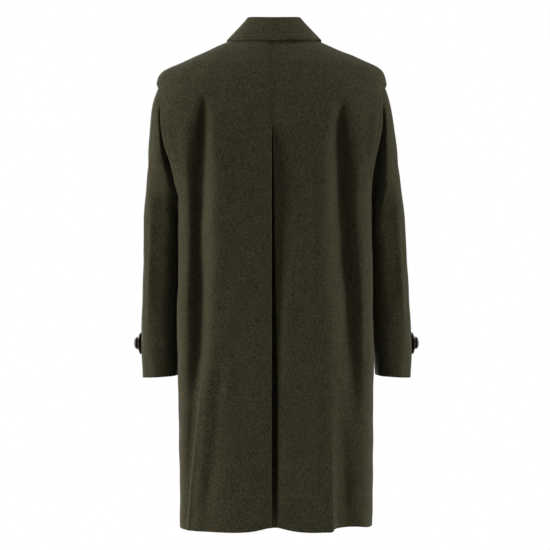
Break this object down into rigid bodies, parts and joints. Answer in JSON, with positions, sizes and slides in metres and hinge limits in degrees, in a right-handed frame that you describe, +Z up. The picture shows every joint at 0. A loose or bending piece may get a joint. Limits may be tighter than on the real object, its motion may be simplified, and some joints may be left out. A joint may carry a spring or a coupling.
{
  "type": "coat",
  "caption": "Knee-length dark olive loden overcoat with a turn-down collar, pleated back, shoulder flanges over the sleeves and buttoned cuff straps.",
  "frame": {"origin": "middle of the neck, level with the neck ends of the shoulder seams, where the wearer's shoulders hold the coat", "axes": "+Z up, +Y towards the coat's back, +X towards the wearer's left"},
  "size_m": [0.6151, 0.2897, 1.0696],
  "materials": {
    "loden": "matte, short nap",
    "strap_leather": "matte",
    "button_leather": "satin"
  },
  "bodies": {
    "root": {"back_left": "loden", "back_right": "loden", "pleat_underlay": "loden", "front_left": "loden", "front_right": "loden", "sleeve_top_left": "loden", "sleeve_under_left": "loden", "sleeve_top_right": "loden", "sleeve_under_right": "loden", "collar": "loden", "cuff_strap_left": "strap_leather", "cuff_strap_right": "strap_leather", "cuff_button_left": "button_leather", "cuff_button_right": "button_leather", "front_button_1": "button_leather", "front_button_2": "button_leather", "front_button_3": "button_leather", "front_button_4": "button_leather", "front_button_5": "button_leather"}
  },
  "joints": []
}
